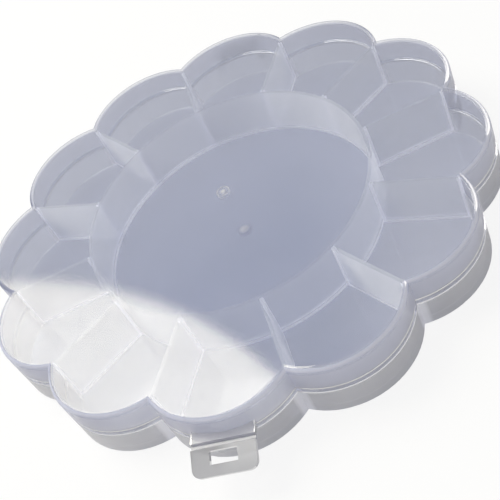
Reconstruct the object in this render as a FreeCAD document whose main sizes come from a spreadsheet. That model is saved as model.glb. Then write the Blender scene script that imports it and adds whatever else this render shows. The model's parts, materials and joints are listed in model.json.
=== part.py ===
import FreeCAD, Part
import math
import os
import re

import Sketcher

# Flower palette box in clear polypropylene: twelve petal wells round a round centre well, under a
# hinged lid with one latch tab. The origin is the centre of the flat underside, +Z is up, the latch
# faces -Y and the hinge is at +Y. Lengths are in millimetres, angles in degrees.

SIZES = {
    # Flower outline, shared by tray and lid
    "petal_count": 12,
    "petal_circle": 53.4,
    "petal_radius": 21.6,
    "overall_height": 17.5,
    "parting_height": 8.5,
    "parting_bevel": 0.25,
    # Tray
    "floor_thickness": 1.2,
    "tray_edge_round": 0.8,
    "well_round": 0.6,
    "lip_height": 1.4,
    "lip_thickness": 0.6,
    "lip_gap": 0.3,
    "rim_edge": 0.6,
    "ring_radius": 42.8,
    "ring_thickness": 1.0,
    "divider_thickness": 1.0,
    # Lid
    "lid_plate": 1.0,
    "lid_skirt": 1.0,
    "lid_clearance": 0.3,
    "lid_edge_round": 1.5,
    "lid_inner_round": 0.6,
    # Gate marks of the two mouldings
    "gate_dimple_radius": 1.8,
    "gate_dimple_depth": 0.25,
    "gate_nub_radius": 0.7,
    "gate_nub_height": 0.3,
    # Latch
    "fold_rise": 2.35,
    "shelf_thickness": 1.2,
    "fold_standoff": 2.5,
    "web_thickness": 0.4,
    "web_on_shelf_side": 0.7,
    "web_on_tab_side": 0.6,
    "tab_width": 16.2,
    "tab_length": 7.3,
    "tab_thickness": 1.2,
    "tab_corner": 2.2,
    "tab_droop": 20.0,
    "window_start": 1.4,
    "window_end": 4.6,
    "window_width": 7.0,
    "catch_side_gap": 0.5,
    "catch_clearance": 0.2,
    "catch_reach": 1.9,
    "catch_nose": 0.8,
    "catch_below_parting": 0.3,
    # Hinge
    "hinge_standoff": 4.0,
    "hinge_rise": 0.5,
    "bar_radius": 1.3,
    "bar_clearance": 0.05,
    "clip_wall": 1.2,
    "clip_width": 12.0,
    "clip_mouth": 2.1,
    "clip_web_rise": 0.3,
    "ear_gap": 0.3,
    "ear_thickness": 2.0,
    "ear_nose": 2.6,
    "ear_root_drop": 0.4,
    "ear_root_height": 4.4,
    # Length by which a cut runs past the face that it opens
    "cut_overrun": 1.0,
}

FULL_TURN = 360
COORDINATE_TOLERANCE = 1e-4

# Sizes that follow from the driving dimensions
HALF_PITCH = "(180 / petal_count)"
TIP = "(petal_circle + petal_radius)"
LIP_RADIUS = "(petal_radius - rim_edge - lip_gap)"
WELL_RADIUS = "(petal_radius - rim_edge - lip_gap - lip_thickness)"
LIP_TOP = "(parting_height + lip_height)"
LID_UNDERSIDE = "(overall_height - lid_plate)"
WELL_TOP = "(overall_height - lid_plate - lid_clearance)"
FOLD_Y = "(petal_circle + petal_radius + fold_standoff)"
FOLD_Z = "(parting_height + fold_rise)"
HINGE_Y = "(petal_circle + petal_radius + hinge_standoff)"
HINGE_Z = "(parting_height + hinge_rise)"
BORE_RADIUS = "(bar_radius + bar_clearance)"
CLIP_RADIUS = "(bar_radius + bar_clearance + clip_wall)"

doc = FreeCAD.newDocument("FlowerPalette")
sheet = doc.addObject("Spreadsheet::Sheet", "Sizes")
for row, (alias, number) in enumerate(SIZES.items(), start=1):
    sheet.set(f"A{row}", alias)
    sheet.set(f"B{row}", str(number))
    sheet.setAlias(f"B{row}", alias)
doc.recompute()


def from_sheet(text):
    """Write a formula of size names as an expression on the sheet."""
    return re.sub(r"[a-z_]+", lambda word: f"Sizes.{word[0]}" if word[0] in SIZES else word[0], text)


def value(text):
    """The present value of a formula of size names."""
    return float(sheet.evalExpression(from_sheet(text)))


def bind(obj, name, text):
    obj.setExpression(name, from_sheet(text))


def new_body(label):
    body = doc.addObject("PartDesign::Body", label)
    body.Label = label
    return body


def origin_part(body, role):
    return next(part for part in body.Origin.OriginFeatures if part.Role == role)


def sketch_on(body, name, plane, **offset):
    """A sketch on one of the body's own planes, moved along its own axes by formulas."""
    sketch = body.newObject("Sketcher::SketchObject", name)
    sketch.AttachmentSupport = [(origin_part(body, plane), "")]
    sketch.MapMode = "FlatFace"
    for axis, text in offset.items():
        bind(sketch, f"AttachmentOffset.Base.{axis}", text)
    return sketch


def hold_point(sketch, geometry, end, x, y):
    """Tie a point of a sketch to its two coordinates, each a formula."""
    for kind, text, axis in (("DistanceX", x, -2), ("DistanceY", y, -1)):
        if text == "0":
            sketch.addConstraint(Sketcher.Constraint("PointOnObject", geometry, end, axis))
        else:
            rule = sketch.addConstraint(Sketcher.Constraint(kind, -1, 1, geometry, end, value(text)))
            bind(sketch, f"Constraints[{rule}]", text)


def hold_size(sketch, kind, geometry, text):
    rule = sketch.addConstraint(Sketcher.Constraint(kind, geometry, value(text)))
    bind(sketch, f"Constraints[{rule}]", text)


def add_circle(sketch, radius, x="0", y="0"):
    centre = FreeCAD.Vector(value(x), value(y), 0)
    geometry = sketch.addGeometry(Part.Circle(centre, FreeCAD.Vector(0, 0, 1), value(radius)))
    hold_size(sketch, "Radius", geometry, radius)
    hold_point(sketch, geometry, 3, x, y)


def add_outline(sketch, points):
    """A closed outline of straight lines through points given as pairs of formulas."""
    places = [FreeCAD.Vector(value(x), value(y), 0) for x, y in points]
    lines = []
    for start, end in zip(places, places[1:] + places[:1]):
        lines.append(sketch.addGeometry(Part.LineSegment(start, end)))
    for line, following in zip(lines, lines[1:] + lines[:1]):
        sketch.addConstraint(Sketcher.Constraint("Coincident", line, 2, following, 1))
    for line, (x, y) in zip(lines, points):
        hold_point(sketch, line, 1, x, y)


def bevel_ends(line, kind, at_top):
    """The two ends of a bevel line, in the order in which the distance along an axis grows."""
    grows = at_top or kind == "DistanceY"
    return (line, 1, line, 2) if grows else (line, 2, line, 1)


def add_rounded_profile(sketch, radius, low, high, rounding, at_top, bevel="0"):
    """Half section of a round disc with one outer edge rounded, at its top or at its bottom.

    The other outer edge is left sharp, or broken by a bevel.
    """
    outer, bottom, top, corner, cut = (value(text) for text in (radius, low, high, rounding, bevel))
    arc_height = top - corner if at_top else bottom + corner
    circle = Part.Circle(FreeCAD.Vector(outer - corner, arc_height, 0), FreeCAD.Vector(0, 0, 1), corner)
    first_angle = 0 if at_top else -math.pi / 2
    arc = sketch.addGeometry(Part.ArcOfCircle(circle, first_angle, first_angle + math.pi / 2))
    at_bottom = not at_top
    floor_end = outer - (corner if at_bottom else cut)
    roof_start = outer - (corner if at_top else cut)
    wall_low = bottom + (corner if at_bottom else cut)
    wall_high = top - (corner if at_top else cut)
    corners = [
        ((0, bottom), (floor_end, bottom)),
        ((outer, wall_low), (outer, wall_high)),
        ((roof_start, top), (0, top)),
        ((0, top), (0, bottom)),
    ]
    if cut and at_top:
        corners.append(((floor_end, bottom), (outer, wall_low)))
    elif cut:
        corners.append(((outer, wall_high), (roof_start, top)))
    floor, wall, roof, axis, *break_lines = (
        sketch.addGeometry(Part.LineSegment(FreeCAD.Vector(*start, 0), FreeCAD.Vector(*end, 0)))
        for start, end in corners
    )
    plain, smooth = ((floor, wall), (wall, roof)) if at_top else ((wall, roof), (floor, wall))
    chain = [plain[0], *break_lines, plain[1]]
    for first, second in (*zip(chain, chain[1:]), (roof, axis), (axis, floor)):
        sketch.addConstraint(Sketcher.Constraint("Coincident", first, 2, second, 1))
    sketch.addConstraint(Sketcher.Constraint("Tangent", smooth[0], 2, arc, 1))
    sketch.addConstraint(Sketcher.Constraint("Tangent", arc, 2, smooth[1], 1))
    for line, kind in ((floor, "Horizontal"), (roof, "Horizontal"), (wall, "Vertical")):
        sketch.addConstraint(Sketcher.Constraint(kind, line))
    hold_size(sketch, "Radius", arc, rounding)
    hold_point(sketch, floor, 1, "0", low)
    hold_point(sketch, roof, 2, "0", high)
    hold = sketch.addConstraint(Sketcher.Constraint("DistanceX", -1, 1, wall, 2, outer))
    bind(sketch, f"Constraints[{hold}]", radius)
    for line in break_lines:
        for kind in ("DistanceX", "DistanceY"):
            run = sketch.addConstraint(Sketcher.Constraint(kind, *bevel_ends(line, kind, at_top), cut))
            bind(sketch, f"Constraints[{run}]", bevel)


def pad(body, name, sketch, length, both_ways=False):
    feature = body.newObject("PartDesign::Pad", name)
    feature.Profile = sketch
    feature.SideType = "Symmetric" if both_ways else "One side"
    bind(feature, "Length", length)
    return feature


def pocket(body, name, sketch, length, both_ways=False):
    feature = body.newObject("PartDesign::Pocket", name)
    feature.Profile = sketch
    feature.SideType = "Symmetric" if both_ways else "One side"
    bind(feature, "Length", length)
    return feature


def flower(body, name, radius, low, high, rounding, at_top, bevel="0", cut=False):
    """A ring of round petals and the disc between them, added to the body or cut from it."""
    profile = sketch_on(body, f"{name}_profile", "XZ_Plane", x="petal_circle")
    add_rounded_profile(profile, radius, low, high, rounding, at_top, bevel)
    kind = "PartDesign::Groove" if cut else "PartDesign::Revolution"
    petal = body.newObject(kind, f"{name}_petal")
    petal.Profile = profile
    petal.ReferenceAxis = (profile, ["V_Axis"])
    petal.Angle = FULL_TURN
    ring_of_petals(body, name, petal)
    middle = sketch_on(body, f"{name}_middle_outline", "XY_Plane", z=high if cut else low)
    add_circle(middle, "petal_circle")
    make = pocket if cut else pad
    make(body, f"{name}_middle", middle, f"{high} - {low}")


def ring_of_petals(body, name, petal):
    """Repeat one petal round the centre of the box."""
    pattern = body.newObject("PartDesign::PolarPattern", f"{name}_petals")
    pattern.Originals = [petal]
    pattern.Axis = (origin_part(body, "Z_Axis"), [""])
    pattern.Angle = FULL_TURN
    bind(pattern, "Occurrences", "petal_count")
    body.Tip = pattern


def petal_rim_cut(body, name, radius, low, high):
    """Cut a straight step into the inside of the scalloped wall."""
    outline = sketch_on(body, f"{name}_outline", "XY_Plane", z=high)
    add_circle(outline, radius, "petal_circle")
    ring_of_petals(body, name, pocket(body, f"{name}_petal", outline, f"{high} - {low}"))


def seat_on_petal(body, petal_middle, low, high):
    """Shape a piece to sit flush on the round wall of a petal."""
    outline = sketch_on(body, f"{body.Label}_seat_outline", "XY_Plane", z=high)
    add_circle(outline, "petal_radius", "0", petal_middle)
    pocket(body, f"{body.Label}_seat", outline, f"{high} - {low}")


def side_piece(label, points, width):
    """A piece of one width whose outline is drawn in the plane of the hinge and the latch."""
    body = new_body(label)
    outline = sketch_on(body, f"{label}_outline", "YZ_Plane")
    add_outline(outline, points)
    pad(body, f"{label}_pad", outline, width, both_ways=True)
    return body


def disc(body, name, radius, low, height):
    """A small round pad on a flat face of the body."""
    outline = sketch_on(body, f"{name}_outline", "XY_Plane", z=low)
    add_circle(outline, radius)
    pad(body, name, outline, height)


def edges_where(shape, test):
    """Names of the edges whose two end points both pass a test."""
    names = []
    for number, edge in enumerate(shape.Edges, start=1):
        if len(edge.Vertexes) == 2 and all(test(vertex.Point) for vertex in edge.Vertexes):
            names.append(f"Edge{number}")
    return names


# Tray: one open moulding with a scalloped wall and a thin lip that locates the lid
tray_shell = new_body("tray_shell")
flower(tray_shell, "tray", "petal_radius", "0", "parting_height", "tray_edge_round",
       at_top=False, bevel="parting_bevel")
lip_outline = sketch_on(tray_shell, "lip_outline", "XY_Plane", z="floor_thickness")
add_circle(lip_outline, LIP_RADIUS, "petal_circle")
lip_petal = pad(tray_shell, "lip_petal", lip_outline, f"{LIP_TOP} - floor_thickness")
ring_of_petals(tray_shell, "lip", lip_petal)
flower(tray_shell, "well", WELL_RADIUS, "floor_thickness", f"({LIP_TOP} + cut_overrun)", "well_round",
       at_top=False, cut=True)
disc(tray_shell, "tray_gate_nub", "gate_nub_radius", "floor_thickness", "gate_nub_height")

# Wall of the round centre well
centre_ring = new_body("centre_ring")
ring_outline = sketch_on(centre_ring, "ring_outline", "XY_Plane", z="floor_thickness")
add_circle(ring_outline, "ring_radius")
add_circle(ring_outline, "ring_radius - ring_thickness")
pad(centre_ring, "ring_pad", ring_outline, f"{WELL_TOP} - floor_thickness")


def divider(label, number):
    """One wall between two petal wells, from the ring to the ridge where the two petals meet."""
    body = new_body(label)
    along = f"petal_circle * cos({HALF_PITCH})"
    across = f"petal_circle * sin({HALF_PITCH})"
    half = "divider_thickness / 2"
    ridge = f"{along} + sqrt({WELL_RADIUS}^2 - ({across})^2)"
    flank = f"{along} + sqrt({WELL_RADIUS}^2 - ({across} - {half})^2)"
    outline = sketch_on(body, f"{label}_outline", "XY_Plane", z="floor_thickness")
    add_outline(outline, (
        ("ring_radius", f"-{half}"),
        (flank, f"-{half}"),
        (ridge, "0"),
        (flank, half),
        ("ring_radius", half),
    ))
    wall = pad(body, f"{label}_pad", outline, f"{WELL_TOP} - floor_thickness")
    doc.recompute()
    foot = value("floor_thickness") + COORDINATE_TOLERANCE
    outer = value(ridge) - COORDINATE_TOLERANCE
    chamfer = body.newObject("PartDesign::Chamfer", f"{label}_foot")
    chamfer.Base = (wall, edges_where(wall.Shape, lambda point: point.z < foot and point.x > outer))
    bind(chamfer, "Size", "well_round")
    bind(body, "Placement.Rotation.Angle", f"{HALF_PITCH} * {2 * number + 1}")
    return body


dividers = []
for index in range(int(SIZES["petal_count"])):
    dividers.append(divider(f"divider_{index + 1:02d}", index))

# Hook on the front petal, inside the arc that the far edge of the tab's window swings through
WINDOW_SWING = "(window_end - catch_clearance)"
CATCH_NOSE_Y = "(petal_circle + petal_radius + catch_reach)"
catch_root_low = f"{FOLD_Z} - sqrt({WINDOW_SWING}^2 - fold_standoff^2)"
catch_nose_low = f"{FOLD_Z} - sqrt({WINDOW_SWING}^2 - (fold_standoff - catch_reach)^2)"
catch_top = "parting_height - catch_below_parting"
latch_catch = side_piece("latch_catch", (
    ("-petal_circle", catch_root_low),
    (f"-{TIP}", catch_root_low),
    (f"-{CATCH_NOSE_Y}", catch_nose_low),
    (f"-{CATCH_NOSE_Y}", f"{catch_nose_low} + catch_nose"),
    (f"-{TIP}", catch_top),
    ("-petal_circle", catch_top),
), "window_width - 2 * catch_side_gap")
seat_on_petal(latch_catch, "-petal_circle", "0", "parting_height")


def hinge_ear(label, side):
    """Lug on the rear petal that carries one end of the hinge bar."""
    body = new_body(label)
    inner = "(clip_width / 2 + ear_gap)"
    start = inner if side > 0 else f"(-{inner} - ear_thickness)"
    root_top = "parting_height - ear_root_drop"
    nose = sketch_on(body, f"{label}_nose_outline", "YZ_Plane", z=start)
    add_circle(nose, "ear_nose", HINGE_Y, HINGE_Z)
    pad(body, f"{label}_nose", nose, "ear_thickness")
    root = sketch_on(body, f"{label}_root_outline", "YZ_Plane", z=start)
    add_outline(root, (
        ("petal_circle", f"{root_top} - ear_root_height"),
        (HINGE_Y, f"{HINGE_Z} - ear_nose"),
        (HINGE_Y, root_top),
        ("petal_circle", root_top),
    ))
    pad(body, f"{label}_root", root, "ear_thickness")
    seat_on_petal(body, "petal_circle", "0", "parting_height")
    return body


hinge_ear_left = hinge_ear("hinge_ear_left", -1)
hinge_ear_right = hinge_ear("hinge_ear_right", 1)

# Round bar between the ears
hinge_bar = new_body("hinge_bar")
bar_outline = sketch_on(hinge_bar, "bar_outline", "YZ_Plane")
add_circle(bar_outline, "bar_radius", HINGE_Y, HINGE_Z)
pad(hinge_bar, "bar_pad", bar_outline, "clip_width + 2 * ear_gap", both_ways=True)

# Lid: a flat plate with a scalloped skirt, stepped inside its rim to go over the tray's lip
lid_shell = new_body("lid_shell")
flower(lid_shell, "lid", "petal_radius", "parting_height", "overall_height", "lid_edge_round",
       at_top=True, bevel="parting_bevel")
flower(lid_shell, "lid_hollow", "(petal_radius - lid_skirt)", "(parting_height - cut_overrun)",
       LID_UNDERSIDE, "lid_inner_round", at_top=True, cut=True)
petal_rim_cut(lid_shell, "lid_rim", "petal_radius - rim_edge", "(parting_height - cut_overrun)",
              f"({LIP_TOP} + lip_gap)")
dimple_outline = sketch_on(lid_shell, "lid_gate_dimple_outline", "XY_Plane", z="overall_height")
add_circle(dimple_outline, "gate_dimple_radius")
pocket(lid_shell, "lid_gate_dimple", dimple_outline, "gate_dimple_depth")
disc(lid_shell, "lid_gate_nub", "gate_nub_radius", "(overall_height - gate_dimple_depth)",
     "gate_dimple_depth")

# Ledge on the front petal of the lid, with a straight outer edge and its underside level with the web's
half_web = "web_thickness / 2"
latch_shelf = new_body("latch_shelf")
shelf_outline = sketch_on(latch_shelf, "shelf_outline", "XY_Plane", z=f"{FOLD_Z} - {half_web}")
shelf_edge = f"-({FOLD_Y} - web_on_shelf_side)"
add_outline(shelf_outline, (
    ("-tab_width / 2", shelf_edge),
    ("tab_width / 2", shelf_edge),
    ("tab_width / 2", "-petal_circle"),
    ("-tab_width / 2", "-petal_circle"),
))
pad(latch_shelf, "shelf_pad", shelf_outline, "shelf_thickness")
seat_on_petal(latch_shelf, "-petal_circle", "parting_height", "overall_height")

# Thin strip that bends between the ledge and the tab, at the bottom of the groove between them
root_y = f"({FOLD_Y} + web_on_tab_side * cos(tab_droop))"
root_z = f"({FOLD_Z} - web_on_tab_side * sin(tab_droop))"
latch_web = side_piece("latch_web", (
    (shelf_edge, f"{FOLD_Z} - {half_web}"),
    (f"-({FOLD_Y} - {half_web} * tan(tab_droop / 2))", f"{FOLD_Z} - {half_web}"),
    (f"-({root_y} - {half_web} * sin(tab_droop))", f"{root_z} - {half_web} * cos(tab_droop)"),
    (f"-({root_y} + {half_web} * sin(tab_droop))", f"{root_z} + {half_web} * cos(tab_droop)"),
    (f"-({FOLD_Y} + {half_web} * tan(tab_droop / 2))", f"{FOLD_Z} + {half_web}"),
    (shelf_edge, f"{FOLD_Z} + {half_web}"),
), "tab_width")

# Open knuckle on the rear petal of the lid, which snaps over the bar from above
hinge_clip = new_body("hinge_clip")
knuckle_outline = sketch_on(hinge_clip, "knuckle_outline", "YZ_Plane")
add_circle(knuckle_outline, CLIP_RADIUS, HINGE_Y, HINGE_Z)
pad(hinge_clip, "knuckle", knuckle_outline, "clip_width", both_ways=True)
clip_web_outline = sketch_on(hinge_clip, "clip_web_outline", "YZ_Plane")
add_outline(clip_web_outline, (
    ("petal_circle", f"{HINGE_Z} + clip_web_rise"),
    (HINGE_Y, f"{HINGE_Z} + clip_web_rise"),
    (HINGE_Y, f"{HINGE_Z} + {CLIP_RADIUS}"),
    ("petal_circle", f"{HINGE_Z} + {CLIP_RADIUS}"),
))
pad(hinge_clip, "clip_web", clip_web_outline, "clip_width", both_ways=True)
bore_outline = sketch_on(hinge_clip, "bore_outline", "YZ_Plane")
add_circle(bore_outline, BORE_RADIUS, HINGE_Y, HINGE_Z)
pocket(hinge_clip, "bore", bore_outline, "clip_width", both_ways=True)
mouth_outline = sketch_on(hinge_clip, "mouth_outline", "YZ_Plane")
add_outline(mouth_outline, (
    (f"{HINGE_Y} - clip_mouth / 2", f"{HINGE_Z} - {CLIP_RADIUS} - cut_overrun"),
    (f"{HINGE_Y} + clip_mouth / 2", f"{HINGE_Z} - {CLIP_RADIUS} - cut_overrun"),
    (f"{HINGE_Y} + clip_mouth / 2", HINGE_Z),
    (f"{HINGE_Y} - clip_mouth / 2", HINGE_Z),
))
pocket(hinge_clip, "mouth", mouth_outline, "clip_width", both_ways=True)
seat_on_petal(hinge_clip, "petal_circle", "0", "overall_height")

# Latch tab, drawn flat about its fold line and then hung at the angle where it rests
latch_tab = new_body("latch_tab")
tab_outline = sketch_on(latch_tab, "tab_outline", "XY_Plane", z=f"-{half_web}")
add_outline(tab_outline, (
    ("-tab_width / 2", "-tab_length"),
    ("tab_width / 2", "-tab_length"),
    ("tab_width / 2", "-web_on_tab_side"),
    ("-tab_width / 2", "-web_on_tab_side"),
))
tab_pad = pad(latch_tab, "tab_pad", tab_outline, "tab_thickness")
doc.recompute()
tab_end = -value("tab_length") + COORDINATE_TOLERANCE
half_tab = value("tab_width") / 2 - COORDINATE_TOLERANCE
corner_edges = []
for side in (-1, 1):
    corner_edges += edges_where(tab_pad.Shape, lambda point: point.y < tab_end and point.x * side > half_tab)
tab_corners = latch_tab.newObject("PartDesign::Fillet", "tab_corners")
tab_corners.Base = (tab_pad, corner_edges)
bind(tab_corners, "Radius", "tab_corner")
window_outline = sketch_on(latch_tab, "window_outline", "XY_Plane", z=f"tab_thickness - {half_web}")
add_outline(window_outline, (
    ("-window_width / 2", "-window_end"),
    ("window_width / 2", "-window_end"),
    ("window_width / 2", "-window_start"),
    ("-window_width / 2", "-window_start"),
))
pocket(latch_tab, "window", window_outline, "tab_thickness")
latch_tab.Placement.Rotation = FreeCAD.Rotation(FreeCAD.Vector(1, 0, 0), value("tab_droop"))
bind(latch_tab, "Placement.Rotation.Angle", "tab_droop")
bind(latch_tab, "Placement.Base.y", f"-{FOLD_Y}")
bind(latch_tab, "Placement.Base.z", FOLD_Z)

doc.recompute()
for obj in doc.Objects:
    if "Invalid" in obj.State or "Error" in obj.State:
        raise RuntimeError(f"{obj.Name} failed: {obj.State}")
    if obj.TypeId in ("PartDesign::Pocket", "PartDesign::Groove"):
        if obj.BaseFeature.Shape.Volume - obj.Shape.Volume < COORDINATE_TOLERANCE:
            raise RuntimeError(f"{obj.Name} cuts nothing")

pieces = [tray_shell, centre_ring, *dividers, latch_catch, hinge_ear_left, hinge_ear_right, hinge_bar,
          lid_shell, latch_shelf, latch_web, hinge_clip, latch_tab]
for piece in pieces:
    if piece.Shape.isNull() or not piece.Shape.isValid() or len(piece.Shape.Solids) != 1:
        raise RuntimeError(f"{piece.Label} is not one valid solid")

os.makedirs("parts", exist_ok=True)
for piece in pieces:
    piece.Shape.exportStep(f"parts/{piece.Label}.step")
    box = piece.Shape.BoundBox
    print(f"{piece.Label}: volume {piece.Shape.Volume:.2f}, z {box.ZMin:.2f} to {box.ZMax:.2f}")
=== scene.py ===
import bpy
import json
import math
from mathutils import Matrix, Vector


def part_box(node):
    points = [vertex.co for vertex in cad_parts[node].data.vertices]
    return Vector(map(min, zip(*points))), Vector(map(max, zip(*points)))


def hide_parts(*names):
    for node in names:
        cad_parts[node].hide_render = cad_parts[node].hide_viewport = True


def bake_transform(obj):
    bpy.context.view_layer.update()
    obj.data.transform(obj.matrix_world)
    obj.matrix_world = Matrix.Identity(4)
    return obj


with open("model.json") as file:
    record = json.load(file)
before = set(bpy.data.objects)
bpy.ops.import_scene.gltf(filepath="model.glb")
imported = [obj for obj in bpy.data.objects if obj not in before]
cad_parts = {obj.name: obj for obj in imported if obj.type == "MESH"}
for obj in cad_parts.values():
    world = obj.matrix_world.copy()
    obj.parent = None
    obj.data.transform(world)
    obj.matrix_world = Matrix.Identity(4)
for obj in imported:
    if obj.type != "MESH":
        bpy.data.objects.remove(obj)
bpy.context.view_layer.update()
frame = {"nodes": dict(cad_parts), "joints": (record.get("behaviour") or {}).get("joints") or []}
bpy.ops.object.select_all(action="DESELECT")

# Tray shell. One open moulding of clear polypropylene, with a flat floor, a scalloped wall and a thin
# lip inside the rim that locates the lid. The resin is slightly milky, and the rim shines. Its floor is
# tinted darker blue, partly its own blue and partly painted shade. Painted glowing lines stand in for
# the light that gathers in the notches of the wall, and a painted dark-blue line on the top edge of the
# lip stands in for the dark edge that refraction gives there. Its gate mark is painted pale as a
# highlight.


class Wire:
    """A shader socket that can be written into sums, with a method that adds any other node."""

    def __init__(self, tree, socket=None):
        self.tree = tree
        self.socket = socket

    def node(self, kind, settings=None, feeds=None, output=0):
        """Add a node, set it up, feed its sockets with values or wires, and return one output."""
        made = self.tree.nodes.new(kind)
        for name, setting in (settings or {}).items():
            setattr(made, name, setting)
        for key, feed in (feeds or {}).items():
            if isinstance(feed, Wire):
                self.tree.links.new(feed.socket, made.inputs[key])
            else:
                made.inputs[key].default_value = feed
        return Wire(self.tree, made.outputs[output]) if made.outputs else None

    def maths(self, operation, first, second, clamp=False):
        settings = {"operation": operation, "use_clamp": clamp}
        return self.node("ShaderNodeMath", settings, {0: first, 1: second})

    def __add__(self, other):
        return self.maths("ADD", self, other)

    def __sub__(self, other):
        return self.maths("SUBTRACT", self, other)

    def __rsub__(self, other):
        return self.maths("SUBTRACT", other, self)

    def __mul__(self, other):
        return self.maths("MULTIPLY", self, other)

    def __pow__(self, other):
        return self.maths("POWER", self, other)

    def __neg__(self):
        return self.maths("MULTIPLY", self, -1.0)

    def __abs__(self):
        return self.maths("ABSOLUTE", self, 0.0)

    __radd__ = __add__
    __rmul__ = __mul__

    def kept(self):
        """The same value, held between nothing and one."""
        return self.maths("ADD", self, 0.0, clamp=True)

    def along(self, axis):
        """One of the three numbers of a place or a direction."""
        return self.node("ShaderNodeSeparateXYZ", None, {"Vector": self}, output=axis)

    def from_middle(self):
        """Distance of a place from the upright line through the middle of the box."""
        return (self.along("X") ** 2.0 + self.along("Y") ** 2.0) ** 0.5

    def blend(self, first, second):
        """A colour mixed from two by this value."""
        return self.node("ShaderNodeMix", {"data_type": "RGBA"}, {0: self, 6: first, 7: second}, output=2)

    def line_at(self, middle, half_width):
        """One at a level and fading to nothing a half width away from it."""
        return (1.0 - abs(self - middle) * (1.0 / half_width)).kept()

    def over(self, level, fade):
        """Nothing under a level and one over it, with a soft step between them."""
        return ((self - level) * (1.0 / fade) + 0.5).kept()

    def under(self, level, fade):
        """One under a level and nothing over it, with a soft step between them."""
        return 1.0 - self.over(level, fade)


def milky_resin(name, look, sheet_colour, through_share):
    """Clear, slightly milky plastic. The look gives its haze and tint, and may give places where the
    sheet is shaded, places that shine, painted highlight lines, white and glowing, for the light that
    gathers in a corner, a lift that turns the gloss of a wall upwards, as the small rounds of its corners
    do, and a gloss of its own."""
    dark = (0.0, 0.0, 0.0, 1.0)
    upwards = (0.0, 0.0, 1.0)
    # Painted highlight: the lines are made white and glowing, standing in for light that gathers in
    # corners.
    painted_line_colour = (0.95, 0.95, 1.0, 1.0)
    painted_line_glow = 0.35
    shaded_colour = (0.84, 0.862, 0.935, 1.0)
    through_colour = (0.85, 0.86, 0.92, 1.0)
    cloud_scale = 45.0
    cloud_detail = 3.0
    cloud_depth = 0.10
    slant_blend = 0.5
    slant_haze = 0.35
    slant_power = 2.0
    slant_mirror = 0.15
    slant_mirror_power = 5.0
    body_roughness = 0.6
    usual_roughness = 0.08
    usual_gloss = 0.06
    usual_gloss_colour = (0.8, 0.8, 0.8, 1.0)
    material = bpy.data.materials.new(name)
    material.use_nodes = True
    material.node_tree.nodes.clear()
    wire = Wire(material.node_tree)
    place = wire.node("ShaderNodeTexCoord", output="Object")
    normal = wire.node("ShaderNodeTexCoord", output="Normal")
    traits = look(place, normal)

    # Haze that varies in soft clouds and thickens where the sheet is seen at a slant.
    clouds = wire.node("ShaderNodeTexNoise", None, {
        "Vector": place, "Scale": cloud_scale, "Detail": cloud_detail,
    })
    slant = wire.node("ShaderNodeLayerWeight", None, {"Blend": slant_blend}, output="Facing")
    cloudy = 1.0 - cloud_depth + 2 * cloud_depth * clouds
    density = traits["haze"] * cloudy + slant_haze * slant ** slant_power

    # The clear share of the sheet, and the milky share, which scatters light back and lets some through.
    sheet = wire.node("ShaderNodeBsdfTransparent", None, {"Color": sheet_colour})
    if "shaded" in traits:
        dark_sheet = wire.node("ShaderNodeBsdfTransparent", None, {"Color": shaded_colour})
        sheet = wire.node("ShaderNodeMixShader", None, {0: traits["shaded"], 1: sheet, 2: dark_sheet})
    paint = {"Base Color": traits["tint"], "Roughness": body_roughness, "Specular IOR Level": 0.0}
    # Painted highlight lines: denser, white and glowing.
    if "lines" in traits:
        lines = traits["lines"].kept()
        density = density + lines
        paint["Base Color"] = lines.blend(traits["tint"], painted_line_colour)
        paint["Emission Color"] = lines.blend(dark, painted_line_colour)
        paint["Emission Strength"] = painted_line_glow
    body = wire.node("ShaderNodeBsdfPrincipled", None, paint)
    through = wire.node("ShaderNodeBsdfTranslucent", None, {"Color": through_colour})
    body = wire.node("ShaderNodeMixShader", None, {0: through_share, 1: body, 2: through})
    hazed = wire.node("ShaderNodeMixShader", None, {0: density.kept(), 1: sheet, 2: body})

    # The gloss over both.
    mirror = traits.get("gloss", usual_gloss) + slant_mirror * slant ** slant_mirror_power
    if "shine" in traits:
        mirror = (mirror + traits["shine"]).kept()
    gloss_faces = wire.node("ShaderNodeNewGeometry", output="Normal")
    if "lift" in traits:
        to_world = {"vector_type": "NORMAL", "convert_from": "OBJECT", "convert_to": "WORLD"}
        up = wire.node("ShaderNodeVectorTransform", to_world, {"Vector": upwards})
        lift = wire.node("ShaderNodeVectorMath", {"operation": "SCALE"}, {0: up, "Scale": traits["lift"]})
        raised = wire.node("ShaderNodeVectorMath", {"operation": "ADD"}, {0: gloss_faces, 1: lift})
        gloss_faces = wire.node("ShaderNodeVectorMath", {"operation": "NORMALIZE"}, {0: raised})
    gloss = wire.node("ShaderNodeBsdfGlossy", {"distribution": "BECKMANN"}, {
        "Color": traits.get("gloss_colour", usual_gloss_colour),
        "Roughness": traits.get("roughness", usual_roughness),
        "Normal": gloss_faces,
    })
    glossed = wire.node("ShaderNodeMixShader", None, {0: mirror, 1: hazed, 2: gloss})
    wire.node("ShaderNodeOutputMaterial", None, {"Surface": glossed})
    return material


def dress(material, *nodes):
    """Give nodes of the frame their finished material."""
    for node in nodes:
        slots = frame["nodes"][node].data.materials
        slots.clear()
        slots.append(material)


tray_sheet = (0.90, 0.905, 0.92, 1.0)
tray_through = 0.3
tray_wall_tint = (0.61, 0.605, 0.625, 1.0)
# The floor's darker blue tint is partly the resin's own blue and partly painted shade.
tray_floor_shade_tint = (0.27, 0.30, 0.48, 1.0)
# The pale gate spot on the floor is a painted highlight.
tray_gate_highlight_tint = (0.95, 0.95, 1.0, 1.0)
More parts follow.
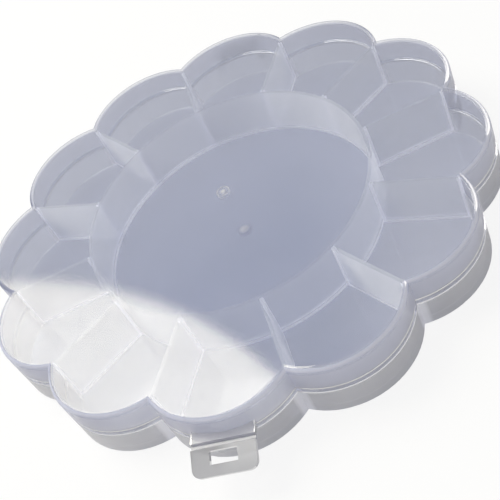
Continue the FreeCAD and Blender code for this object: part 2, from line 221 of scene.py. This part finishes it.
# Painted dark-blue line on the lip's top edge, standing in for the dark edge that refraction gives.
lip_edge_shade_tint = (0.06, 0.18, 0.60, 1.0)
outer_wall_haze = 0.8
inner_wall_haze = 0.36
tray_floor_haze = 0.26
foot_haze = 0.42
lip_haze = 0.05
lip_edge_haze = 0.8
tray_gate_haze = 0.8
petal_light = 0.3
# Painted highlight lines, white and glowing, in the notches of the wall.
notch_highlight = 0.4
rim_shine = 0.75
lip_shine = 0.4
low_edge_shine = 0.12
corner_lift = 2.0
floor_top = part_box("centre_ring")[0].z
parting_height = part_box("lid_shell")[0].z
ring_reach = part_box("centre_ring")[1].x
lip_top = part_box("tray_shell")[1].z
hair_line = 0.0003
low_edge_height = 0.0002
foot_height = 0.0029
foot_fade = 0.001
lip_edge_width = 0.0003
inner_notch_reach = 0.0672
outer_notch_reach = 0.0694
notch_fade = 0.0006
tray_gate_radius = 0.0015
bevel_rise = 0.7
bevel_spread = 0.25
level_rise = 0.9
face_fade = 0.1
turn_fade = 0.02


def level_faces(normal):
    """One on faces that lie level, nothing on walls and bevels."""
    return abs(normal.along("Z")).over(level_rise, face_fade)


def looks_inwards(place, normal):
    """One on walls that face the middle of the box, nothing on walls that face away from it."""
    outwards = place.along("X") * normal.along("X") + place.along("Y") * normal.along("Y")
    return outwards.under(0.0, turn_fade)


def tray_look(place, normal):
    """Floor, wall, rim, lip and gate mark of the tray."""
    height = place.along("Z")
    reach = place.from_middle()
    level = level_faces(normal)
    inwards = looks_inwards(place, normal)
    floor = level * height.under(2 * floor_top, hair_line)
    petals = reach.over(ring_reach, hair_line)
    gate = reach.under(tray_gate_radius, tray_gate_radius) * floor
    lip = height.over(parting_height + hair_line, hair_line)
    lip_edge = inwards * (1.0 - level) * height.over(lip_top - lip_edge_width, hair_line)
    wall = (1.0 - level) * (1.0 - lip)
    foot = wall * (1.0 - inwards) * height.under(foot_height, foot_fade)
    low_edge = (1.0 - level) * height.line_at(low_edge_height, hair_line)
    notch_reach = outer_notch_reach + (inner_notch_reach - outer_notch_reach) * inwards
    notch = wall * (notch_reach - reach).over(0.0, notch_fade)
    bevel = normal.along("Z").line_at(bevel_rise, bevel_spread)
    rim = bevel * height.line_at(parting_height, 2 * hair_line)
    wall_haze = outer_wall_haze + (inner_wall_haze - outer_wall_haze) * inwards
    haze = tray_floor_haze * floor + wall_haze * wall + lip_haze * lip + foot_haze * foot
    tint = lip_edge.blend(floor.blend(tray_wall_tint, tray_floor_shade_tint), lip_edge_shade_tint)
    return {
        "haze": haze + tray_gate_haze * gate + lip_edge_haze * lip_edge,
        "tint": gate.blend(tint, tray_gate_highlight_tint),
        "lines": notch_highlight * notch,
        "shaded": floor * (1.0 - petal_light * petals) + inwards * wall,
        "shine": rim_shine * rim + lip_shine * lip_edge + low_edge_shine * low_edge,
        "lift": corner_lift * (lip_edge + low_edge),
    }


dress(milky_resin("tray_plastic", tray_look, tray_sheet, tray_through), "tray_shell")

# Centre ring and dividers. Thin walls moulded up from the tray's floor, round the centre well and
# between the petals. Painted white lines that glow, along their feet and ends, stand in for the light
# that the small rounds there gather, and their level top edges are so clear that they hardly show.
wall_sheet = (0.99, 0.995, 1.0, 1.0)
wall_tint = (0.88, 0.91, 1.0, 1.0)
wall_top_haze = 0.05
wall_roughness = 0.3
# Strength of the painted highlight lines, white and glowing, at feet and ends.
wall_line = 0.9
wall_line_width = 0.0009
ring_through = 0.75
ring_haze = 0.27
ring_gloss = 0.05
divider_through = 0.5
divider_haze = 0.25
divider_gloss = 0.07
first_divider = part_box("divider_01")
divider_reach = math.hypot(first_divider[1].x, first_divider[1].y)


def wall_traits(place, normal, side_haze, gloss):
    """An upright inner wall, clearer on its level top edge and with a painted highlight line along its
    foot.
    """
    level = level_faces(normal)
    foot = (1.0 - level) * place.along("Z").under(floor_top + wall_line_width, hair_line)
    return {
        "haze": side_haze + (wall_top_haze - side_haze) * level,
        "tint": wall_tint,
        "lines": wall_line * foot,
        "lift": corner_lift,
        "gloss": gloss,
        "roughness": wall_roughness,
    }


def ring_look(place, normal):
    """The ring, a wall with no ends."""
    return wall_traits(place, normal, ring_haze, ring_gloss)


def divider_look(place, normal):
    """A divider, with painted highlight lines up its ends at the ring and in the notch of the outer wall.
    """
    traits = wall_traits(place, normal, divider_haze, divider_gloss)
    reach = place.from_middle()
    ends = reach.under(ring_reach + wall_line_width, hair_line)
    ends = ends + reach.over(divider_reach - wall_line_width, hair_line)
    traits["lines"] = traits["lines"] + wall_line * ends * (1.0 - level_faces(normal))
    return traits


dividers = [node for node in frame["nodes"] if node.startswith("divider")]
dress(milky_resin("ring_plastic", ring_look, wall_sheet, ring_through), "centre_ring")
dress(milky_resin("divider_plastic", divider_look, wall_sheet, divider_through), *dividers)

# Catch, hinge ears and bar. Small solid lugs moulded on the outside of the tray's wall, so thin
# that they stay nearly clear.
lug_haze = 0.12


def lug_look(place, normal):
    """Nearly clear plastic, the same all over."""
    return {"haze": lug_haze, "tint": tray_wall_tint}


lugs = ("latch_catch", "hinge_ear_left", "hinge_ear_right", "hinge_bar")
dress(milky_resin("lug_plastic", lug_look, wall_sheet, tray_through), *lugs)

# Lid shell. The second moulding, a flat plate with a scalloped skirt in the same resin. Its round
# outer edge shines and is painted pale as a highlight, and at the rear left it is painted dark with less
# gloss as shade, a thin dark line. A spot in a small ring, in the middle of the plate, is the mark of
# the moulding gate, painted pale as a highlight.
lid_sheet = (0.95, 0.955, 0.97, 1.0)
lid_through = 0.3
lid_gloss_colour = (0.785, 0.76, 0.705, 1.0)
lid_tint = (0.50, 0.53, 0.66, 1.0)
skirt_tint = (0.56, 0.56, 0.66, 1.0)
# The pale tint of the round edge is a painted highlight; the dark rear left tint below is painted shade.
edge_tint = (0.66, 0.69, 0.92, 1.0)
rear_edge_shade_tint = (0.16, 0.17, 0.26, 1.0)
# The pale ring and spot of the gate mark are a painted highlight.
lid_gate_highlight_tint = (0.9, 0.9, 0.92, 1.0)
lid_haze = 0.08
skirt_haze = 0.40
rim_haze = 0.15
edge_haze = 0.5
rear_edge_haze = 0.9
lid_gate_haze = 0.6
edge_shine = 0.24
# Less gloss on the rear left edge, as painted shade.
rear_edge_shade_dimming = 0.15
rim_line_shine = 0.7
rim_under_shine = 0.3
lid_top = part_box("lid_shell")[1].z
rim_step = lip_top + hair_line
edge_round = 0.0015
edge_low_rise = 0.35
edge_low_fade = 0.6
edge_high_rise = 0.92
edge_high_fade = 0.14
edge_rise = 0.6
edge_spread = 0.5
rear_edge_slope = 0.7
rear_edge_start = 0.02
rear_edge_fade = 0.03
rim_under_drop = 0.3
lid_gate_radius = 0.0018
lid_gate_spot = 0.0008


def lid_look(place, normal):
    """Plate, round edge, skirt, rim and gate mark of the lid."""
    height = place.along("Z")
    reach = place.from_middle()
    rise = normal.along("Z")
    inwards = looks_inwards(place, normal)
    plate = height.over(lid_top - edge_round, hair_line)
    gate_ring = reach.line_at(lid_gate_radius, hair_line)
    gate = plate * (gate_ring + reach.under(lid_gate_spot, lid_gate_spot))
    edge = plate * rise.over(edge_low_rise, edge_low_fade) * rise.under(edge_high_rise, edge_high_fade)
    # The round edge is painted lit and pale towards the front and right, and dark with less gloss at the
    # rear left, as painted light and shade.
    to_rear_left = place.along("Y") - rear_edge_slope * place.along("X")
    lit = to_rear_left.under(rear_edge_start, rear_edge_fade)
    bright_edge = edge * lit * rise.line_at(edge_rise, edge_spread)
    shaded_rear_edge = edge * (1.0 - lit)
    skirt = (1.0 - plate) * (1.0 - level_faces(normal))
    rim = skirt * height.under(rim_step, hair_line)
    rim_line = skirt * (1.0 - inwards) * height.line_at(rim_step, hair_line)
    rim_under = rim * (-rise).over(rim_under_drop, face_fade)
    haze = lid_haze * plate + skirt_haze * skirt + (rim_haze - skirt_haze) * rim - rim_haze * rim_under
    haze_at_edge = rear_edge_haze + (edge_haze - rear_edge_haze) * lit
    tint = edge.blend(skirt.blend(lid_tint, skirt_tint), lit.blend(rear_edge_shade_tint, edge_tint))
    rim_shines = rim_line_shine * rim_line + rim_under_shine * rim_under
    return {
        "haze": haze + haze_at_edge * edge + lid_gate_haze * gate,
        "tint": gate.blend(tint, lid_gate_highlight_tint),
        "shaded": skirt * inwards + edge,
        "shine": edge_shine * bright_edge + rim_shines - rear_edge_shade_dimming * shaded_rear_edge,
        "lift": corner_lift * (rim_line + rim_under),
        "gloss_colour": lid_gloss_colour,
    }


dress(milky_resin("lid_plastic", lid_look, lid_sheet, lid_through), "lid_shell")

# Hinge clip. An open knuckle moulded on the rear petal of the lid, which snaps over the bar and
# is as clear as the lugs that it turns between.
dress(milky_resin("clip_plastic", lug_look, wall_sheet, lid_through), "hinge_clip")

# Latch shelf. A ledge moulded on the front petal of the lid, with a straight edge for the tab to
# fold on. It looks white from above, with bright ends, and its face above the fold is painted dark as
# shade.
shelf_tint = (0.66, 0.66, 0.73, 1.0)
# Dark tint of the face above the fold and of the web: painted shade.
fold_shade_tint = (0.48, 0.48, 0.54, 1.0)
shelf_haze = 0.6
shelf_end_shine = 0.8
shelf_half_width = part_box("latch_shelf")[1].x
shelf_end_width = 0.00045
side_turn = 0.7


def shelf_look(place, normal):
    """Top, ends and front face of the ledge."""
    front = (-normal.along("Y")).over(side_turn, face_fade)
    ends = abs(place.along("X")).line_at(shelf_half_width, shelf_end_width) * (1.0 - front)
    return {
        "haze": shelf_haze,
        "tint": front.blend(shelf_tint, fold_shade_tint),
        "shine": shelf_end_shine * ends,
    }


dress(milky_resin("shelf_plastic", shelf_look, lid_sheet, lid_through), "latch_shelf")

# Latch web. The thin strip of the lid's moulding that bends as a hinge between ledge and tab, at
# the bottom of the groove between them.
fold = Vector(next(joint["pos_m"] for joint in frame["joints"] if joint["name"] == "latch_fold"))
web_haze = 0.55
web_low, web_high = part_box("latch_web")
web_width = web_high.x - web_low.x
web_thickness = 2 * (web_high.z - fold.z)
web_steps = 8
web_smoothing = math.radians(30.0)
tab_droop = math.radians(20.0)
web_on_tab_side = 0.0006
web_start = Vector((0.0, web_high.y, fold.z))
web_end = fold + web_on_tab_side * Vector((0.0, -math.cos(tab_droop), -math.sin(tab_droop)))


def web_place(share):
    """A point of the strip's middle line, which leaves ledge and tab in line with each."""
    return (1 - share) ** 2 * web_start + 2 * share * (1 - share) * fold + share ** 2 * web_end


def web_look(place, normal):
    """Hazy plastic, the same all over, tinted dark as painted shade of the groove."""
    return {"haze": web_haze, "tint": fold_shade_tint}


web_line = [web_place(step / web_steps) for step in range(web_steps + 1)]
first_step = web_line[1] - web_line[0]
bpy.ops.mesh.primitive_plane_add(size=1.0, location=(web_line[0] + web_line[1]) / 2)
web = bpy.context.object
web.name = "latch_web_strip"
web.scale = (web_width, first_step.length, 1.0)
bpy.ops.object.transform_apply(location=True, rotation=True, scale=True)
for vertex in web.data.vertices:
    vertex.select = vertex.co.y < web_line[0].y - first_step.length / 2
for edge in web.data.edges:
    edge.select = all(web.data.vertices[index].select for index in edge.vertices)
for face in web.data.polygons:
    face.select = False
bpy.ops.object.mode_set(mode="EDIT")
bpy.ops.mesh.select_mode(type="EDGE")
for before, after in zip(web_line[1:], web_line[2:]):
    bpy.ops.mesh.extrude_edges_move(TRANSFORM_OT_translate={"value": after - before})
bpy.ops.object.mode_set(mode="OBJECT")
solid = web.modifiers.new("thickness", "SOLIDIFY")
solid.thickness = web_thickness
solid.offset = 0.0
bpy.ops.object.modifier_apply(modifier="thickness")
bpy.ops.object.shade_smooth_by_angle(angle=web_smoothing)
web.data.materials.append(milky_resin("web_plastic", web_look, lid_sheet, lid_through))
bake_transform(web)
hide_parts("latch_web")

# Latch tab. A flat flap with rounded corners and a window that snaps over the catch, moulded in
# one with the lid and hanging half open on its web. A painted pool of light makes it lightest near the
# fold on the right, and its end face and the left side of its window shine bright.
tab_tint = (0.44, 0.435, 0.45, 1.0)
# The lighter tint near the fold on the right is a painted pool of light.
tab_painted_light_tint = (0.85, 0.85, 0.86, 1.0)
tab_haze = 0.62
tab_shine = 0.7
tab_light_share = 0.55
tab_low, tab_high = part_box("latch_tab")
tab_length = tab_high.y - tab_low.y
tab_light_end = tab_high.y - tab_light_share * tab_length
tab_light_fade = tab_high.x / 2
window_fade = tab_high.x / 4


def tab_look(place, normal):
    """Flat faces, end face and window of the tab."""
    near_fold = place.along("Y").over(tab_light_end, tab_length)
    to_right = place.along("X").over(0.0, tab_light_fade)
    end_face = (-normal.along("Y")).over(side_turn, face_fade)
    faces_right = normal.along("X").over(side_turn, face_fade)
    window_side = faces_right * place.along("X").under(0.0, window_fade)
    return {
        "haze": tab_haze,
        "tint": (near_fold * to_right).blend(tab_tint, tab_painted_light_tint),
        "shine": tab_shine * (end_face + window_side),
    }


dress(milky_resin("tab_plastic", tab_look, lid_sheet, lid_through), "latch_tab")

# Studio floor. A wide white board under the box. It lies a hair below the flat underside, so that
# the two faces never share a plane, and it keeps a faint shadow.
white = (1.0, 1.0, 1.0, 1.0)
full_white = 1.0
floor_size = 6.0
floor_paint = (0.97, 0.97, 0.97, 1.0)
floor_lift = 0.86
floor_gap = 0.0001


def seen_directly(wire):
    """One for rays that show the background: from the camera, in gloss and through glass."""
    camera_ray = wire.node("ShaderNodeLightPath", output="Is Camera Ray")
    glossy_ray = wire.node("ShaderNodeLightPath", output="Is Glossy Ray")
    through_ray = wire.node("ShaderNodeLightPath", output="Is Transmission Ray")
    return (camera_ray + glossy_ray + through_ray).kept()


bpy.ops.mesh.primitive_plane_add(size=floor_size, location=(0.0, 0.0, -floor_gap))
floor = bpy.context.object
floor.name = "floor"
floor_white = bpy.data.materials.new("floor_white")
floor_white.use_nodes = True
floor_white.node_tree.nodes.clear()
wire = Wire(floor_white.node_tree)
matte = wire.node("ShaderNodeBsdfDiffuse", None, {"Color": floor_paint})
bright = wire.node("ShaderNodeEmission", None, {"Color": white, "Strength": full_white})
lifted = wire.node("ShaderNodeMixShader", None, {0: floor_lift * seen_directly(wire), 1: matte, 2: bright})
wire.node("ShaderNodeOutputMaterial", None, {"Surface": lifted})
floor.data.materials.append(floor_white)

# Studio walls and ceiling. They give an even fill, and where the plastic mirrors them they are white,
# apart from a darker stretch of ceiling behind the box on the left.
fill_strength = 0.40
ceiling_paint = (0.15, 0.18, 0.3, 1.0)
ceiling_rise = 0.63
ceiling_fade = 0.12
ceiling_rear = 0.4
ceiling_rear_fade = 0.2
ceiling_left = -0.16
world = bpy.data.worlds.new("studio")
bpy.context.scene.world = world
world.use_nodes = True
world.node_tree.nodes.clear()
wire = Wire(world.node_tree)
fill = wire.node("ShaderNodeBackground", None, {"Color": white, "Strength": fill_strength})
backdrop = wire.node("ShaderNodeBackground", None, {"Color": white, "Strength": full_white})
ceiling = wire.node("ShaderNodeBackground", None, {"Color": ceiling_paint, "Strength": full_white})
direction = wire.node("ShaderNodeTexCoord", output="Generated")
overhead = direction.along("Z").over(ceiling_rise, ceiling_fade)
overhead = overhead * direction.along("Y").over(ceiling_rear, ceiling_rear_fade)
overhead = overhead * direction.along("X").under(ceiling_left, ceiling_fade)
backdrop = wire.node("ShaderNodeMixShader", None, {0: overhead, 1: backdrop, 2: ceiling})
sky = wire.node("ShaderNodeMixShader", None, {0: seen_directly(wire), 1: fill, 2: backdrop})
wire.node("ShaderNodeOutputWorld", None, {"Surface": sky})

# Studio lamps, all round and soft. The lid mirrors the large one behind on the left. A low one at the
# front left lights the near walls and shows in no gloss, and one behind on the right shows in gloss
# alone, on the edges of the petals there.
warm_white = (1.0, 0.97, 0.83)
pale_white = (1.0, 0.985, 0.95)


def soft_lamp(name, place, target, size, watts, colour):
    """A round soft lamp that faces a point."""
    lamp = bpy.data.lights.new(name, "AREA")
    lamp.shape = "DISK"
    lamp.size = size
    lamp.color = colour
    lamp.energy = watts
    holder = bpy.data.objects.new(name, lamp)
    holder.visible_camera = False
    bpy.context.scene.collection.objects.link(holder)
    aim = (Vector(target) - Vector(place)).to_track_quat("-Z", "Y")
    holder.matrix_world = Matrix.Translation(place) @ aim.to_matrix().to_4x4()
    return holder


soft_lamp(
    "window_lamp", place=(-0.61, 0.25, 0.86), target=(-0.19, -0.35, 0.17),
    size=0.884, watts=10.1, colour=warm_white,
)
front_lamp = soft_lamp(
    "front_lamp", place=(-0.70, -0.50, 0.12), target=(0.0, -0.06, 0.008),
    size=0.4, watts=1.5, colour=pale_white,
)
front_lamp.visible_glossy = False
side_lamp = soft_lamp(
    "side_lamp", place=(0.66, 0.90, 0.30), target=(0.0, 0.0, 0.0),
    size=1.0, watts=9.0, colour=pale_white,
)
side_lamp.visible_diffuse = False
side_lamp.visible_transmission = False

# Camera. It stands where the outline and the notches of the petals put it, above the latch and in
# front of it, and is rolled because the box lies askew in the picture. A ray may pass many clear
# faces before it reaches the floor.
camera_place = Vector((0.0769, -0.19445, 0.18743))
camera_target = Vector((0.0085, -0.0253, 0.0175))
camera_roll = math.radians(-29.8)
focal_pixels = 956.3
photo_pixels = 500.0
clear_layers = 48
camera = bpy.data.cameras.new("photo_camera")
camera.sensor_fit = "HORIZONTAL"
camera.lens = camera.sensor_width * focal_pixels / photo_pixels
viewer = bpy.data.objects.new("photo_camera", camera)
bpy.context.scene.collection.objects.link(viewer)
aim = (camera_target - camera_place).to_track_quat("-Z", "Y").to_matrix().to_4x4()
viewer.matrix_world = Matrix.Translation(camera_place) @ aim @ Matrix.Rotation(camera_roll, 4, "Z")
bpy.context.scene.camera = viewer
bpy.context.scene.cycles.transparent_max_bounces = clear_layers
bpy.context.scene.view_settings.view_transform = "Standard"
